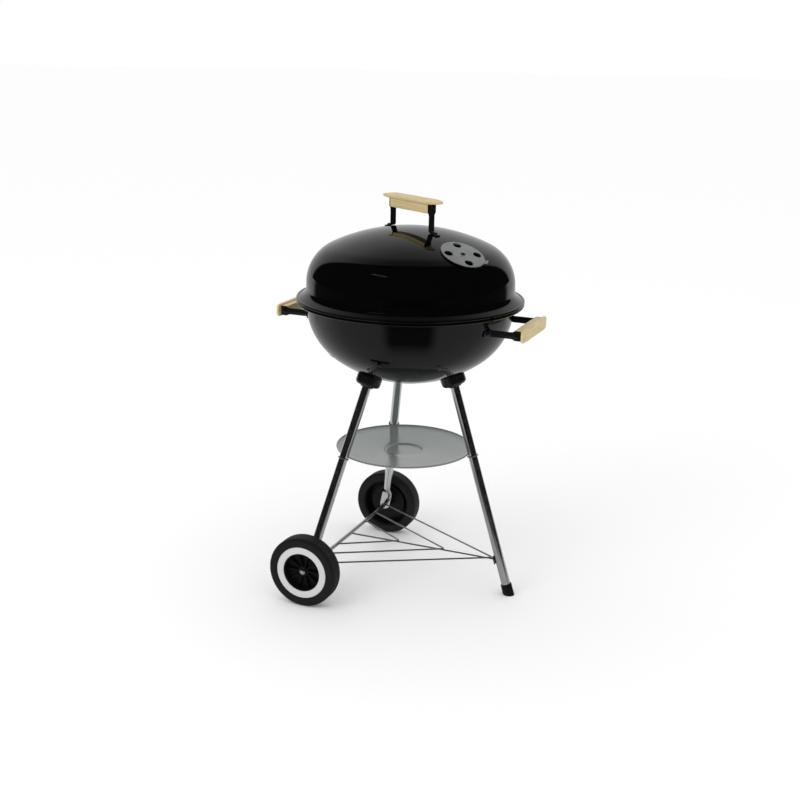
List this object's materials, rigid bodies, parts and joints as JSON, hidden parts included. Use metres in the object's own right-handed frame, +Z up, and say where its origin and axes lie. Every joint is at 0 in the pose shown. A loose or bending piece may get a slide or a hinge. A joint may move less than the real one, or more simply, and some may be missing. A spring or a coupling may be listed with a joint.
{
  "type": "kettle charcoal grill",
  "caption": "Round kettle charcoal grill on a tripod of leaning tubes with wheels, an ash tray, a wire shelf, a vented domed lid and wooden grips.",
  "frame": {"origin": "on the floor, under the kettle's own vertical axis", "axes": "+Z up, +X towards the single front foot, the wheel axle parallel to Y behind the kettle at -X"},
  "size_m": [0.543, 0.4746, 0.8292],
  "materials": {
    "black_enamel": "gloss",
    "bright_steel": "satin",
    "plain_steel": "satin",
    "damper_aluminium": "satin",
    "black_steel": "gloss",
    "bolt_steel": "satin",
    "pale_wood": "satin",
    "black_socket": "gloss",
    "chrome_tube": "polished",
    "black_plastic": "satin",
    "tray_steel": "gloss",
    "black_tyre": "satin",
    "pale_plastic": "gloss"
  },
  "bodies": {
    "kettle": {"bowl_shell": "black_enamel", "bowl_vent_rivet": "bright_steel", "grate_tabs": "bright_steel", "side_brackets_front": "black_steel", "side_brackets_back": "black_steel", "side_bolts": "bolt_steel", "side_nuts": "bolt_steel", "side_grip_front": "pale_wood", "side_grip_back": "pale_wood", "side_grip_screws": "bolt_steel", "socket_front": "black_socket", "socket_left": "black_socket", "socket_right": "black_socket", "socket_bolts": "bolt_steel", "socket_nuts": "bolt_steel", "leg_front": "chrome_tube", "leg_left": "chrome_tube", "leg_right": "chrome_tube", "foot_cap": "black_plastic", "ash_tray": "tray_steel", "tray_clips": "chrome_tube", "wire_shelf": "bright_steel", "shelf_screw": "bolt_steel", "axle": "chrome_tube", "axle_washers": "chrome_tube", "axle_caps": "chrome_tube"},
    "lid": {"lid_shell": "black_enamel", "lid_vent_rivet": "bright_steel", "lid_brackets": "black_steel", "lid_bolts": "bolt_steel", "lid_nuts": "bolt_steel", "lid_grip": "pale_wood", "lid_grip_screws": "bolt_steel"},
    "lid_damper": {"lid_vent_damper": "damper_aluminium"},
    "bowl_damper": {"bowl_vent_damper": "damper_aluminium"},
    "cooking_grate": {"cooking_grate": "bright_steel"},
    "charcoal_grate": {"charcoal_grate": "plain_steel"},
    "left_wheel": {"tyre_left": "black_tyre", "wheel_disc_left": "black_plastic", "wheel_ring_left": "pale_plastic"},
    "right_wheel": {"tyre_right": "black_tyre", "wheel_disc_right": "black_plastic", "wheel_ring_right": "pale_plastic"}
  },
  "joints": [
    {"name": "lid_lift", "type": "slide", "parent": "kettle", "child": "lid", "axis": [0, 0, 1], "range_m": [0, 0.25]},
    {"name": "lid_damper_turn", "type": "hinge", "parent": "lid", "child": "lid_damper", "pos_m": [0.13906, -0.07708, 0.73342], "axis": [0.3603, -0.1997, 0.9112], "continuous": true},
    {"name": "bowl_damper_turn", "type": "hinge", "parent": "kettle", "child": "bowl_damper", "pos_m": [0, 0, 0.448], "axis": [0, 0, 1], "continuous": true},
    {"name": "cooking_grate_lift", "type": "slide", "parent": "kettle", "child": "cooking_grate", "axis": [0, 0, 1], "range_m": [0, 0.08]},
    {"name": "charcoal_grate_lift", "type": "slide", "parent": "kettle", "child": "charcoal_grate", "axis": [0, 0, 1], "range_m": [0, 0.06]},
    {"name": "left_wheel_turn", "type": "hinge", "parent": "kettle", "child": "left_wheel", "pos_m": [-0.1345, 0.2193, 0.0745], "axis": [0, 1, 0], "continuous": true},
    {"name": "right_wheel_turn", "type": "hinge", "parent": "kettle", "child": "right_wheel", "pos_m": [-0.1345, -0.2193, 0.0745], "axis": [0, 1, 0], "continuous": true}
  ]
}
